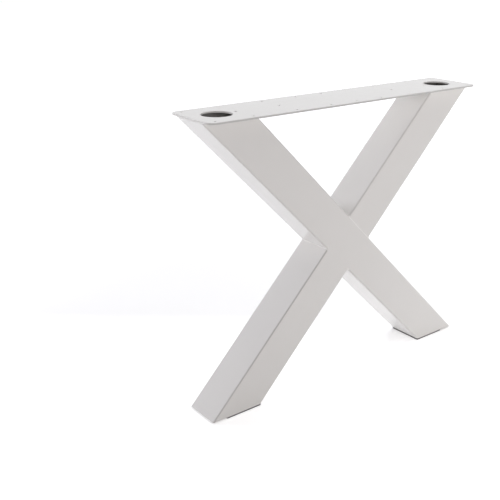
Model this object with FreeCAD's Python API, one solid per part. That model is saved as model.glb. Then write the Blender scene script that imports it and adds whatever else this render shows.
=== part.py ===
import FreeCAD, Part
import math
import os

os.makedirs("parts", exist_ok=True)

# An X-shaped table leg, welded from square steel tube and powder coated.
# One tube runs unbroken from corner to corner. The other is two halves, butted against its sides.
# A thin plate with screw holes lies on the upper ends, and a pad is glued under each foot.
# Millimetres: X runs along the plate, Y is the depth, Z is up. The origin is on the floor below the crossing.

# Driving dimensions
overall_width = 840.0
overall_height = 720.0
tube_side = 100.0
tube_wall = 2.0
plate_depth = 160.0
plate_thickness = 4.0
plate_corner_radius = 20.0
plate_edge_break = 0.5  # chamfer along the plate's outline
access_hole_diameter = 70.0
access_hole_break = 1.0  # chamfer on the access holes' upper edges
screw_hole_diameter = 7.0
screw_row_margin = 15.0  # from a long edge of the plate to the outer rows of screw holes
screw_end_margin = 23.0  # from an end of the plate to the last screw holes
screw_hole_land = 11.5  # metal between an access hole and the screw hole beside it
near_screw_column = 80.0  # from the middle of the plate to the first screw holes
far_screw_column = 180.0  # from the middle of the plate to the second screw holes
foot_plate_thickness = 3.0
pad_thickness = 3.0
pad_setback = 40.0  # bare length under the sharp outer tip of a foot
pad_corner_radius = 2.0
cross_weld_leg = 2.5
plate_weld_leg = 3.0
upper_weld_grind = 0.4  # how far the ground weld of the upper half tube lies below the tubes' faces
lower_weld_grind = 0.05  # the same at the lower half tube

# Worked out from these
tube_corner_radius = 2 * tube_wall  # a cold-formed tube's outer corner
foot_level = pad_thickness
plate_underside = overall_height - plate_thickness
half_width = overall_width / 2
half_rise = (plate_underside - foot_level) / 2
crossing = FreeCAD.Vector(0, 0, foot_level + half_rise)

# The tubes' slope, at which their level-cut ends come out flush with the overall width
corner_slope = math.atan2(half_rise, half_width)
tube_slope = corner_slope + math.asin(tube_side / 2 / math.hypot(half_width, half_rise))
crossing_angle = 2 * tube_slope
end_length = tube_side / math.sin(tube_slope)  # a level-cut tube end, along X
end_centre = half_width - end_length / 2

up_the_branch = FreeCAD.Vector(math.cos(tube_slope), 0, math.sin(tube_slope))
down_the_through = FreeCAD.Vector(math.cos(tube_slope), 0, -math.sin(tube_slope))
across = FreeCAD.Vector(0, 1, 0)
bar_length = 2 * math.hypot(overall_width, overall_height)  # longer than any tube, before the ends are cut


def rounded_bar(length, depth, height, radius):
    """Upright bar centred on the origin, with its four upright edges rounded."""
    bar = Part.makeBox(length, depth, height, FreeCAD.Vector(-length / 2, -depth / 2, -height / 2))
    upright = [edge for edge in bar.Edges if abs(edge.tangentAt(edge.FirstParameter).z) > 0.5]
    return bar.makeFillet(radius, upright)


def level_slab(bottom, top):
    """Wide slab between two heights, for level cuts."""
    corner = FreeCAD.Vector(-overall_width, -tube_side, bottom)
    return Part.makeBox(2 * overall_width, 2 * tube_side, top - bottom, corner)


def along(shape, direction, origin):
    """The shape with its Z axis turned along a direction in the XZ plane, and its centre moved to a point."""
    turned = shape.copy()
    turned.Placement = FreeCAD.Placement(
        origin, FreeCAD.Rotation(across.cross(direction), across, direction, "ZYX")
    )
    return turned


def half_turn(shape):
    """Copy turned half round the axis through the crossing, from the upper right to the lower left."""
    return shape.copy().rotate(crossing, across, 180)


# Tubes
bore_side = tube_side - 2 * tube_wall
square_bar = rounded_bar(tube_side, tube_side, bar_length, tube_corner_radius)
square_bore = rounded_bar(bore_side, bore_side, bar_length, tube_corner_radius - tube_wall)
long_tube = square_bar.cut(square_bore)
tube_heights = level_slab(foot_level, plate_underside)
through_bar = along(square_bar, down_the_through, crossing)
through_tube = along(long_tube, down_the_through, crossing).common(tube_heights)

# The branch is cut by a slot as wide as the through tube, which leaves its two halves
through_slot = along(
    Part.makeBox(
        tube_side, 2 * tube_side, bar_length, FreeCAD.Vector(-tube_side / 2, -tube_side, -bar_length / 2)
    ),
    down_the_through,
    crossing,
)
branch_ends = along(square_bar, up_the_branch, crossing).cut(through_slot)
branch_halves = along(long_tube, up_the_branch, crossing).common(tube_heights).cut(through_slot).Solids
lower_half_tube, upper_half_tube = sorted(branch_halves, key=lambda solid: solid.CenterOfMass.z)


def butt_weld(grind):
    """Weld metal around the upper half tube's end.

    It fills the flared grooves at the through tube's rounded corners, where it is ground off just below the
    tubes' faces, and stands as fillet beads on the two faces between.
    """
    footprint = tube_side / math.sin(crossing_angle)
    collar_height = tube_corner_radius + cross_weld_leg
    collar = rounded_bar(
        footprint + 2 * cross_weld_leg,
        tube_side + 2 * cross_weld_leg,
        collar_height,
        tube_corner_radius + cross_weld_leg,
    )
    top = collar_height / 2
    rim = [edge for edge in collar.Edges if abs(edge.CenterOfMass.z - top) < collar_height / 100]
    collar = collar.makeChamfer(cross_weld_leg, rim)
    side_normal = FreeCAD.Vector(math.sin(tube_slope), 0, math.cos(tube_slope))
    seat = crossing + up_the_branch * (footprint / 2)
    collar = along(collar, side_normal, seat + side_normal * (cross_weld_leg - top))
    flush_depth = tube_side - 2 * grind
    flush_slab = Part.makeBox(
        4 * half_width,
        flush_depth,
        4 * half_rise,
        FreeCAD.Vector(-2 * half_width, -flush_depth / 2, crossing.z - 2 * half_rise),
    )
    return collar.common(flush_slab).cut(through_bar).cut(branch_ends)


cross_welds = Part.makeCompound([butt_weld(upper_weld_grind), half_turn(butt_weld(lower_weld_grind))])


def plate_bead(side_x, side_y):
    """Fillet bead in the corner between the plate's underside and a tube's front or back face."""
    flat_length = (tube_side - 2 * tube_corner_radius) / math.sin(tube_slope)
    bead_length = flat_length - plate_weld_leg / math.tan(tube_slope)
    inner_end = side_x * (end_centre - flat_length / 2)
    face = side_y * tube_side / 2
    toe = side_y * (tube_side / 2 + plate_weld_leg)
    root = FreeCAD.Vector(inner_end, face, plate_underside)
    on_plate = FreeCAD.Vector(inner_end, toe, plate_underside)
    on_tube = FreeCAD.Vector(inner_end, face, plate_underside - plate_weld_leg)
    section = Part.Face(Part.makePolygon([root, on_plate, on_tube, root]))
    return section.extrude(FreeCAD.Vector(side_x * bead_length, 0, 0))


plate_welds = Part.makeCompound([plate_bead(x, y) for x in (-1, 1) for y in (-1, 1)])

# Plates that close the tubes' lower ends, seated inside the walls
foot_plate_heights = level_slab(foot_level, foot_level + foot_plate_thickness)
right_foot_plate = along(square_bore, down_the_through, crossing).common(foot_plate_heights)
left_foot_plate = along(square_bore, up_the_branch, crossing).common(foot_plate_heights)


def foot_pad(side_x):
    """Pad under a foot, as deep as the tube and flush with the foot's inner end."""
    pad_length = end_length - pad_setback
    pad = rounded_bar(pad_length, tube_side, pad_thickness, pad_corner_radius)
    inner_end = end_centre - end_length / 2
    pad.translate(FreeCAD.Vector(side_x * (inner_end + pad_length / 2), 0, pad_thickness / 2))
    return pad


def drill(x, y, diameter):
    """Cylinder for a hole through the top plate."""
    bottom = FreeCAD.Vector(x, y, plate_underside - plate_thickness)
    return Part.makeCylinder(diameter / 2, 3 * plate_thickness, bottom)


def edge_break(x):
    """Cone that takes the sharp upper edge off an access hole."""
    radius = access_hole_diameter / 2
    bottom = FreeCAD.Vector(x, 0, overall_height - access_hole_break)
    return Part.makeCone(radius, radius + 2 * access_hole_break, 2 * access_hole_break, bottom)


def make_top_plate():
    """Flat plate with an access hole over each tube end and rows of screw holes."""
    plate = rounded_bar(overall_width, plate_depth, plate_thickness, plate_corner_radius)
    outline = [edge for edge in plate.Edges if abs(edge.tangentAt(edge.FirstParameter).z) < 0.5]
    plate = plate.makeChamfer(plate_edge_break, outline)
    plate.translate(FreeCAD.Vector(0, 0, plate_underside + plate_thickness / 2))
    row = plate_depth / 2 - screw_row_margin
    beside_access = end_centre - (access_hole_diameter + screw_hole_diameter) / 2 - screw_hole_land
    last_column = half_width - screw_end_margin
    drills = []
    for y in (-row, row):
        drills.append(drill(0, y, screw_hole_diameter))
    for side in (-1, 1):
        drills.append(drill(side * end_centre, 0, access_hole_diameter))
        drills.append(edge_break(side * end_centre))
        for x in (near_screw_column, far_screw_column, beside_access, last_column):
            for y in (-row, row):
                drills.append(drill(side * x, y, screw_hole_diameter))
        for x in (far_screw_column, beside_access):
            drills.append(drill(side * x, 0, screw_hole_diameter))
    return plate.cut(drills)


nodes = {
    "top_plate": make_top_plate(),
    "through_tube": through_tube,
    "upper_half_tube": upper_half_tube,
    "lower_half_tube": lower_half_tube,
    "cross_welds": cross_welds,
    "plate_welds": plate_welds,
    "left_foot_plate": left_foot_plate,
    "right_foot_plate": right_foot_plate,
    "left_foot_pad": foot_pad(-1),
    "right_foot_pad": foot_pad(1),
}
for name, shape in nodes.items():
    shape.exportStep(os.path.join("parts", name + ".step"))
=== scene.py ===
import bpy
import math
from mathutils import Matrix, Vector


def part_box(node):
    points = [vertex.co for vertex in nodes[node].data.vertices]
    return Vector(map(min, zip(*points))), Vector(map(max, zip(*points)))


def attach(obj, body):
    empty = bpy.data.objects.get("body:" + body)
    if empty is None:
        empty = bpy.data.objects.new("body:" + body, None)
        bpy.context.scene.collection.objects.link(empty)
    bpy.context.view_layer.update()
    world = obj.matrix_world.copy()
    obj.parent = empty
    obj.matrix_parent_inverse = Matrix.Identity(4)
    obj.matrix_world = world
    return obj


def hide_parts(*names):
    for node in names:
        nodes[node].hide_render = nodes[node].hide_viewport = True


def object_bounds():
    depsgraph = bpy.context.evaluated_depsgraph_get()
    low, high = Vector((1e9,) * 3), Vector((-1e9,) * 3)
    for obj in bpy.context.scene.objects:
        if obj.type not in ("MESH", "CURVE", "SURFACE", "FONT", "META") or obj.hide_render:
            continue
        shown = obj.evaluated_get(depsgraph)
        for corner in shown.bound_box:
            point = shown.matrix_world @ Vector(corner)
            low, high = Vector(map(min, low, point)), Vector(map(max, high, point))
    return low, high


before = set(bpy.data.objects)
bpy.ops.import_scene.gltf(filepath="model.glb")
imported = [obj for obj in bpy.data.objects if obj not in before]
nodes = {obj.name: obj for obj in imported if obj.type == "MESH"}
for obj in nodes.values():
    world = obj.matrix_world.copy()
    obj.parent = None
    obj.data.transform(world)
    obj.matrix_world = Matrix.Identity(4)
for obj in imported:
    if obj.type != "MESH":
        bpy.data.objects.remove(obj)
cad_low, cad_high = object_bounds()
bpy.ops.object.select_all(action="DESELECT")

# Through tube
# A square cold-formed steel tube, cut level at both ends, that runs unbroken from the top left corner to the
# right foot. It is powder coated outside and bare inside, with overspray below the open upper end.


class Signal:
    """An output socket of a node tree, with shader maths written as plain expressions."""

    def __init__(self, tree, socket):
        self.tree = tree
        self.socket = socket

    def node(self, kind, settings, sockets, output=0):
        """Adds a node: its settings first, then the values or links of its sockets."""
        made = self.tree.nodes.new(kind)
        for name, value in settings.items():
            setattr(made, name, value)
        for name, value in sockets.items():
            if isinstance(value, Signal):
                self.tree.links.new(value.socket, made.inputs[name])
            else:
                made.inputs[name].default_value = value
        return Signal(self.tree, made.outputs[output])

    def maths(self, operation, *values):
        return self.node("ShaderNodeMath", {"operation": operation}, dict(enumerate(values)))

    def __add__(self, other):
        return self.maths("ADD", self, other)

    def __sub__(self, other):
        return self.maths("SUBTRACT", self, other)

    def __rsub__(self, other):
        return self.maths("SUBTRACT", other, self)

    def __mul__(self, other):
        return self.maths("MULTIPLY", self, other)

    def __lt__(self, other):
        return self.maths("LESS_THAN", self, other)

    __radd__ = __add__
    __rmul__ = __mul__

    def larger(self, other):
        return self.maths("MAXIMUM", self, other)

    def smaller(self, other):
        return self.maths("MINIMUM", self, other)

    def size(self):
        return self.maths("ABSOLUTE", self)

    def ramp(self, start, end):
        """Rises from zero at the start to one at the end."""
        return ((self - start) * (1 / (end - start))).larger(0).smaller(1)

    def axes(self):
        """The three parts of a place."""
        split = self.node("ShaderNodeSeparateXYZ", {}, {"Vector": self})
        return [Signal(self.tree, part) for part in split.socket.node.outputs]

    def noise(self, scale):
        """Soft noise about one half, with scale in waves to the metre."""
        return self.node("ShaderNodeTexNoise", {}, {"Vector": self, "Scale": scale})

    def blend(self, first, second):
        """Colour between two colours, with this signal as the share of the second."""
        return self.node(
            "ShaderNodeMix", {"data_type": "RGBA"}, {"Factor": self, "A": first, "B": second}, output=2
        )

    def bump(self, height):
        """Normal of a surface raised by this signal times a height in metres."""
        return self.node("ShaderNodeBump", {}, {"Height": self, "Distance": height})


def new_material(name):
    """New node material: itself, its object coordinates and its surface shader."""
    material = bpy.data.materials.new(name)
    material.use_nodes = True
    tree = material.node_tree
    place = Signal(tree, tree.nodes.new("ShaderNodeTexCoord").outputs["Object"])
    return material, place, tree.nodes["Principled BSDF"]


def feed(shader, name, value):
    """Sets a socket of a shader, or links a signal to it."""
    if isinstance(value, Signal):
        value.tree.links.new(value.socket, shader.inputs[name])
    else:
        shader.inputs[name].default_value = value


coat_white = (0.83, 0.82, 0.805, 1.0)
coat_shade = (0.80, 0.79, 0.772, 1.0)
coat_cloud_waves = 7.0
coat_roughness = 0.18
coat_specular = 0.35
gloss_spread = 0.08  # between the glossiest and the dullest spots of the paint
gloss_waves = 60.0
peel_waves = 420.0
peel_height = 0.00005


def coat_colour(place):
    """White of the powder paint, a little deeper where the film is thin."""
    return place.noise(coat_cloud_waves).blend(coat_white, coat_shade)


def coat_gloss(place):
    """Roughness of the glossy paint, a little uneven."""
    return coat_roughness + gloss_spread * (place.noise(gloss_waves) - 0.5)


def paint(shader, place, colour, roughness, peel):
    """Feeds a painted surface: its colour, its roughness and orange peel of a height."""
    feed(shader, "Base Color", colour)
    feed(shader, "Roughness", roughness)
    feed(shader, "Specular IOR Level", coat_specular)
    feed(shader, "Normal", place.noise(peel_waves).bump(peel))


tube_low, tube_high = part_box("through_tube")
plate_low, plate_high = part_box("top_plate")
tube_side = tube_high.y - tube_low.y
tube_wall = 0.02 * tube_side
tube_corner = 2 * tube_wall
half_width = plate_high.x
half_rise = (tube_high.z - tube_low.z) / 2
crossing_height = tube_low.z + half_rise
tube_slope = math.atan2(half_rise, half_width) + math.asin(tube_side / 2 / math.hypot(half_width, half_rise))
bare_steel = (0.28, 0.28, 0.29, 1.0)
bare_roughness = 0.6
bare_depth = 0.8 * tube_wall  # from the outer faces to where the bare inside begins, just within the wall
corner_shade_reach = 0.7 * tube_corner  # from the outer faces to the edge of the painted shade on the corners
# Painted shade: the rounded corners are coloured darker to stand in for the shade that falls along them.
painted_corner_shade = (0.735, 0.72, 0.707, 1.0)
overspray_depth = 0.10
overspray_share = 0.5
dust_waves = 90.0


def coated_tube(name, lean, shaded_corner_colour):
    """Powder paint outside and bare steel inside, for a tube that leans left (-1) or right (1).

    The rounded corners get a darker colour, a painted shade, and some of the paint dusts the bore below the
    open upper end.
    """
    material, place, shader = new_material(name)
    x, y, z = place.axes()
    across = x * math.sin(tube_slope) - (z - crossing_height) * (lean * math.cos(tube_slope))
    inside = across.size().larger(y.size()) < tube_side / 2 - bare_depth
    overspray = z.ramp(tube_high.z - overspray_depth, tube_high.z) * overspray_share
    bore = (overspray * (0.5 + place.noise(dust_waves))).blend(bare_steel, coat_shade)
    # The rounded corners get the darker colour, a painted shade.
    on_corner = 1 - (across.size().smaller(y.size()) < tube_side / 2 - corner_shade_reach)
    film = on_corner.blend(coat_colour(place), shaded_corner_colour)
    roughness = coat_gloss(place) + inside * (bare_roughness - coat_roughness)
    paint(shader, place, inside.blend(film, bore), roughness, peel_height)
    return material


def finish_node(name, material):
    """Gives a node of the frame its material."""
    nodes[name].data.materials.clear()
    nodes[name].data.materials.append(material)


finish_node("through_tube", coated_tube("through_tube_coat", -1, painted_corner_shade))

# Half tubes
# The other diagonal is two lengths of the same square tube, sawn at the crossing angle. Each is butted
# against a side of the through tube and coated with it. Their corners get painted shade, darkest on the
# lower half.
# A still darker painted shade for the lower half's corners.
painted_lower_corner_shade = (0.635, 0.622, 0.612, 1.0)
finish_node("upper_half_tube", coated_tube("upper_half_coat", 1, painted_corner_shade))
finish_node("lower_half_tube", coated_tube("lower_half_coat", 1, painted_lower_corner_shade))

# Cross welds
# Weld metal around both butted ends, coated with the tubes. On front and back it fills the grooves beside
# the through tube and is ground flush. In the four inner corners of the X it stays as a rippled fillet bead.
# Near white that paints in highlights, on the weld seam and on the walls of the big holes.
painted_highlight_white = (0.97, 0.965, 0.95, 1.0)
weld_peel_height = 1.5 * peel_height
seam_depth = 0.001  # from the tubes' front and back faces, more than the ground welds lie below them
weld_coat, weld_place, weld_shader = new_material("weld_coat")
weld_x, weld_y = weld_place.axes()[:2]
# A painted highlight: the weld in the shallow groove that grinding left at the upper half tube is coloured
# whiter.
seam_painted_highlight = (1 - (weld_y.size() < tube_side / 2 - seam_depth)) * (1 - (weld_x < 0))
weld_coat_and_seam_highlight = seam_painted_highlight.blend(coat_colour(weld_place), painted_highlight_white)
paint(weld_shader, weld_place, weld_coat_and_seam_highlight, coat_gloss(weld_place), weld_peel_height)
finish_node("cross_welds", weld_coat)

bead_white = (0.88, 0.87, 0.855, 1.0)
bead_coat, bead_place, bead_shader = new_material("bead_coat")
bead_film = bead_place.noise(coat_cloud_waves).blend(bead_white, coat_white)
paint(bead_shader, bead_place, bead_film, coat_gloss(bead_place), weld_peel_height)

ripple_pitch = 0.55  # the sizes of a ripple as shares of its bead's leg
ripple_thickness = 0.7
ripple_lean = 0.4
ripple_grain = 0.14
drop_segments = 24
drop_rings = 12
cut_tolerance = 0.000001
bead_smoothing = math.radians(40)


def weld_bead(name, root, seam, first_face, second_face, length, leg):
    """Bead along a seam between two faces: a row of leaning drops, melted together and trimmed."""
    bpy.ops.mesh.primitive_uv_sphere_add(segments=drop_segments, ring_count=drop_rings, radius=leg)
    bead = bpy.context.object
    bead.name = name
    bead.scale = (1, 1, ripple_thickness)
    drop_axis = seam + ripple_lean * (first_face + second_face)
    bead.rotation_euler = drop_axis.to_track_quat("Z", "Y").to_euler()
    bead.location = root - seam * (length / 2)
    bpy.ops.object.transform_apply(location=True, rotation=True, scale=True)
    row = bead.modifiers.new("ripples", "ARRAY")
    row.use_relative_offset = False
    row.use_constant_offset = True
    row.constant_offset_displace = seam * (ripple_pitch * leg)
    row.count = math.ceil(length / (ripple_pitch * leg)) + 1
    bpy.ops.object.modifier_apply(modifier=row.name)
    melt = bead.modifiers.new("melt", "REMESH")
    melt.mode = "VOXEL"
    melt.voxel_size = ripple_grain * leg
    bpy.ops.object.modifier_apply(modifier=melt.name)
    ends = ((root - seam * (length / 2), seam), (root + seam * (length / 2), -seam))
    bpy.ops.object.mode_set(mode="EDIT")
    for point, normal in ((root, first_face), (root, second_face), *ends):
        bpy.ops.mesh.select_all(action="SELECT")
        bpy.ops.mesh.bisect(
            plane_co=point, plane_no=normal, use_fill=True, clear_inner=True, threshold=cut_tolerance
        )
    bpy.ops.mesh.select_all(action="SELECT")
    bpy.ops.mesh.normals_make_consistent(inside=False)
    bpy.ops.object.mode_set(mode="OBJECT")
    bpy.ops.object.shade_smooth_by_angle(angle=bead_smoothing)
    return bead


def copied(piece, name, turn, shift):
    """Copy with a mesh of its own, turned about the origin and then moved."""
    bpy.ops.object.select_all(action="DESELECT")
    piece.select_set(True)
    bpy.context.view_layer.objects.active = piece
    bpy.ops.object.duplicate(linked=False)
    copy = bpy.context.object
    copy.name = name
    copy.rotation_euler = turn
    copy.location = shift
    bpy.ops.object.transform_apply(location=True, rotation=True, scale=True)
    return copy


def fit_piece(piece, material):
    """Gives a finished piece its material, and fixes it to the frame."""
    piece.data.materials.clear()
    piece.data.materials.append(material)
    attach(piece, "root")


depth_axis = Vector((0, 1, 0))
crossing = Vector((0, 0, crossing_height))
through_face = Vector((math.sin(tube_slope), 0, math.cos(tube_slope)))
half_face = Vector((math.sin(tube_slope), 0, -math.cos(tube_slope)))
cross_bead_leg = 0.0026
cross_bead_length = tube_side - tube_corner
half_turn = (0, math.pi, 0)
for corner, opposite, face in (("top", "bottom", -half_face), ("right", "left", half_face)):
    bead_root = crossing + (through_face + face) * (tube_side / 2 / (1 + through_face.dot(face)))
    bead = weld_bead(
        corner + "_cross_bead", bead_root, depth_axis, through_face, face, cross_bead_length, cross_bead_leg
    )
    fit_piece(bead, bead_coat)
    turned = copied(bead, opposite + "_cross_bead", half_turn, 2 * crossing)
    fit_piece(turned, bead_coat)

# Top plate
# A flat laser-cut steel plate with rounded corners, welded on the tubes' upper ends and coated with them.
# The big holes let the paint drain and the small ones take wood screws.
plate_coat, plate_place, plate_shader = new_material("plate_coat")
# Painted shade for the plate's cut edges.
painted_edge_shade = (0.60, 0.595, 0.585, 1.0)
edge_reach = 0.0006
plate_corner = 0.020
access_hole_radius = 0.035
end_centre = half_width - tube_side / 2 / math.sin(tube_slope)
plate_x, plate_y = plate_place.axes()[:2]
# Painted shade: the long cut edges are coloured greyer, fading out round the corners towards the ends.
past_x = (plate_x.size() - (plate_high.x - plate_corner)).larger(0)
past_y = (plate_y.size() - (plate_high.y - plate_corner)).larger(0)
on_edge = 1 - (past_x * past_x + past_y * past_y < (plate_corner - edge_reach) ** 2)
shaded_long_edge_share = on_edge * (past_y * (1 / plate_corner))
# The walls of the big holes are coloured whiter, a painted highlight.
from_hole_x = plate_x.size() - end_centre
hole_wall = from_hole_x * from_hole_x + plate_y * plate_y < (access_hole_radius + edge_reach) ** 2
coat_and_hole_highlight = hole_wall.blend(coat_colour(plate_place), painted_highlight_white)
# The plate's coat with the painted shade on its long edges and the painted highlight in its big holes.
plate_coat_and_painted_light = shaded_long_edge_share.blend(coat_and_hole_highlight, painted_edge_shade)
paint(plate_shader, plate_place, plate_coat_and_painted_light, coat_gloss(plate_place), peel_height)
finish_node("top_plate", plate_coat)

# Plate welds
# Fillet beads in the corners between the plate's underside and the tubes' front and back faces, laid in one
# pass along the flat of each face and coated with the rest.
plate_weld_low, plate_weld_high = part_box("plate_welds")
plate_bead_leg = plate_low.z - plate_weld_low.z
bead_start = end_centre - (tube_side / 2 - tube_corner) / math.sin(tube_slope)
bead_middle = (bead_start + plate_weld_high.x) / 2
left_front_bead = weld_bead(
    "left_front_plate_bead",
    Vector((-bead_middle, -tube_side / 2, plate_low.z)),
    Vector((1, 0, 0)),
    Vector((0, -1, 0)),
    Vector((0, 0, -1)),
    plate_weld_high.x - bead_start,
    plate_bead_leg,
)
no_turn = (0, 0, 0)
about_face = (0, 0, math.pi)
plate_beads = (
    left_front_bead,
    copied(left_front_bead, "right_front_plate_bead", no_turn, (2 * bead_middle, 0, 0)),
    copied(left_front_bead, "right_back_plate_bead", about_face, (0, 0, 0)),
    copied(left_front_bead, "left_back_plate_bead", about_face, (-2 * bead_middle, 0, 0)),
)
for bead in plate_beads:
    fit_piece(bead, bead_coat)
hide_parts("plate_welds")

# Foot plates
# Small steel plates let into the tubes' lower ends, welded flush and coated with them. They close the tubes
# and give the pads a flat face to be glued to.
foot_coat, foot_place, foot_shader = new_material("foot_plate_coat")
paint(foot_shader, foot_place, coat_colour(foot_place), coat_gloss(foot_place), peel_height)
finish_node("left_foot_plate", foot_coat)
finish_node("right_foot_plate", foot_coat)

# Foot pads
# Thin dark rubber pads with a fine matt grain, cut from sheet with slightly rounded corners and glued under
# the feet.
pad_low, pad_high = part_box("left_foot_pad")
pad_corner = 0.002
pad_corner_segments = 6
pad_edge = 0.0004
pad_edge_segments = 2
pad_edge_angle = math.radians(60)  # only the edges of the flat faces are softened, not the rounded corners
pad_smoothing = math.radians(35)
bpy.ops.object.select_all(action="DESELECT")
bpy.ops.mesh.primitive_plane_add(size=1, location=((pad_low.x + pad_high.x) / 2, 0, pad_low.z))
left_pad = bpy.context.object
left_pad.name = "left_rubber_pad"
left_pad.scale = (pad_high.x - pad_low.x, pad_high.y - pad_low.y, 1)
bpy.ops.object.transform_apply(location=True, rotation=True, scale=True)
bpy.ops.object.mode_set(mode="EDIT")
bpy.ops.mesh.select_all(action="SELECT")
bpy.ops.mesh.bevel(offset=pad_corner, segments=pad_corner_segments, affect="VERTICES")
bpy.ops.mesh.extrude_region_move(TRANSFORM_OT_translate={"value": (0, 0, pad_high.z - pad_low.z)})
bpy.ops.mesh.select_all(action="SELECT")
bpy.ops.mesh.normals_make_consistent(inside=False)
bpy.ops.object.mode_set(mode="OBJECT")
soft_edge = left_pad.modifiers.new("soft_edge", "BEVEL")
soft_edge.width = pad_edge
soft_edge.segments = pad_edge_segments
soft_edge.limit_method = "ANGLE"
soft_edge.angle_limit = pad_edge_angle
bpy.ops.object.modifier_apply(modifier=soft_edge.name)
bpy.ops.object.shade_smooth_by_angle(angle=pad_smoothing)

pad_black = (0.012, 0.010, 0.010, 1.0)
pad_grey = (0.022, 0.019, 0.018, 1.0)
pad_roughness = 0.72
pad_roughness_spread = 0.2
pad_specular = 0.15
grain_waves = 900.0
grain_height = 0.0001
pad_rubber, pad_place, pad_shader = new_material("pad_rubber")
pad_grain = pad_place.noise(grain_waves)
feed(pad_shader, "Base Color", pad_grain.blend(pad_black, pad_grey))
feed(pad_shader, "Roughness", pad_roughness + pad_roughness_spread * pad_grain)
feed(pad_shader, "Specular IOR Level", pad_specular)
feed(pad_shader, "Normal", pad_grain.bump(grain_height))
right_pad = copied(left_pad, "right_rubber_pad", about_face, (0, 0, 0))
fit_piece(left_pad, pad_rubber)
fit_piece(right_pad, pad_rubber)
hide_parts("left_foot_pad")
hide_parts("right_foot_pad")

# Floor and backdrop
# A plain white studio floor that runs into a white surround. It is white to the camera and in reflections,
# and keeps the soft shadow under the feet.
floor_size = 30.0
bpy.ops.object.select_all(action="DESELECT")
bpy.ops.mesh.primitive_plane_add(size=floor_size, location=(0, 0, 0))
floor = bpy.context.object
floor.name = "studio_floor"


def seen_rays(tree):
    """One for the rays that show a surface to the camera, straight or by reflection or through glass."""
    rays = tree.nodes.new("ShaderNodeLightPath").outputs
    camera_ray, glossy_ray, clear_ray = (
        Signal(tree, rays[kind]) for kind in ("Is Camera Ray", "Is Glossy Ray", "Is Transmission Ray")
    )
    return (camera_ray + glossy_ray + clear_ray).smaller(1)


pure_white = (1.0, 1.0, 1.0, 1.0)
pure_black = (0.0, 0.0, 0.0, 1.0)
floor_pale = (0.93, 0.93, 0.93, 1.0)
floor_shade = (0.92, 0.92, 0.92, 1.0)
floor_cloud_waves = 3.0
floor_roughness = 0.9
front_glow = 0.45  # what the floor needs beside the lamps' light to be white
back_glow = 0.07  # less behind on the right, where the lamps light it more
far_glow = 0.80
fade_turn = math.radians(50)  # from the X axis to the way in which the glow fades
fade_start = 0.12
fade_end = 0.30
shadow_reach = 0.9  # from the middle of the floor, as far as shadows show
white_reach = 8.0
floor_white, floor_place, floor_shader = new_material("floor_white")
floor_x, floor_y = floor_place.axes()[:2]
along_fade = floor_x * math.cos(fade_turn) + floor_y * math.sin(fade_turn)
faded = along_fade.ramp(fade_start, fade_end)
away = floor_place.node("ShaderNodeVectorMath", {"operation": "LENGTH"}, {0: floor_place}, output="Value")
beyond = away.ramp(shadow_reach, white_reach)
glow_level = front_glow - faded * (front_glow - back_glow) + beyond * (far_glow - back_glow)
glow = seen_rays(floor_place.tree) * glow_level
feed(floor_shader, "Base Color", floor_place.noise(floor_cloud_waves).blend(floor_pale, floor_shade))
feed(floor_shader, "Roughness", floor_roughness)
feed(floor_shader, "Specular IOR Level", 0.0)
feed(floor_shader, "Emission Color", glow.blend(pure_black, pure_white))
feed(floor_shader, "Emission Strength", 1.0)
floor.data.materials.append(floor_white)

# Lamps
# Soft boxes: two big ones far up on the right, a low one behind on the left and a warm one far off in front.
# Of two weak ones near on the right, one lights the undersides off the floor. None shows in reflections.
middle = (cad_low + cad_high) / 2


def soft_box(name, place, target, size, power, colour):
    """Square lamp at a place, aimed at a target."""
    bpy.ops.object.light_add(type="AREA", location=place)
    lamp = bpy.context.object
    lamp.name = name
    lamp.rotation_euler = (target - Vector(place)).to_track_quat("-Z", "Y").to_euler()
    lamp.data.shape = "SQUARE"
    lamp.data.size = size
    lamp.data.energy = power
    lamp.data.color = colour
    lamp.visible_camera = False
    lamp.visible_glossy = False


below_floor_lamp = Vector((1.3, 0.4, 0.0))
soft_box("high_right_lamp", (5.4, -0.5, 7.2), middle, 5.0, 264.0, (1.0, 0.985, 0.942))
soft_box("high_back_lamp", (4.6, 4.6, 6.2), middle, 5.0, 195.0, (0.917, 0.94, 1.0))
soft_box("back_left_lamp", (-1.5, 2.5, 0.9), middle, 1.4, 39.0, (0.958, 0.962, 1.0))
soft_box("front_lamp", (-4.0, -5.0, 2.2), middle, 3.0, 63.0, (1.0, 0.893, 0.784))
soft_box("floor_lamp", (1.3, 0.4, 0.66), below_floor_lamp, 1.2, 4.2, (0.985, 1.0, 1.0))
soft_box("right_lamp", (1.2, -1.0, 0.7), middle, 0.6, 2.8, (1.0, 0.96, 0.92))

# Surround
# The white studio around the floor. It is white to the camera and in reflections, and gives the leg a weak,
# slightly blue light from all sides.
surround_light = 0.32
surround_tint = (0.941, 0.935, 1.0, 1.0)
surround = bpy.data.worlds.new("studio_surround")
bpy.context.scene.world = surround
surround.use_nodes = True
surround_shader = surround.node_tree.nodes["Background"]
surround_seen = seen_rays(surround.node_tree)
feed(surround_shader, "Color", surround_seen.blend(surround_tint, pure_white))
feed(surround_shader, "Strength", surround_light + surround_seen * (1 - surround_light))

# Camera
# It stands in front on the left and looks down on the plate, as in the photograph. Its place, angles and
# focal length come from a fit to the leg's corners.
camera_place = (-1.3014, -1.4465, 1.0539)
camera_yaw = math.radians(40.071)
camera_pitch = math.radians(20.505)
camera_roll = math.radians(0.510)
lens_length = 58.055
lens_shift = -0.12
sensor_width = 36.0
bpy.ops.object.camera_add(location=camera_place)
camera = bpy.context.object
aim = Matrix.Rotation(-camera_yaw, 3, "Z") @ Matrix.Rotation(math.pi / 2 - camera_pitch, 3, "X")
camera.rotation_euler = (aim @ Matrix.Rotation(camera_roll, 3, "Z")).to_euler()
camera.data.sensor_width = sensor_width
camera.data.lens = lens_length
camera.data.shift_x = lens_shift
bpy.context.scene.camera = camera
bpy.context.scene.view_settings.view_transform = "Standard"
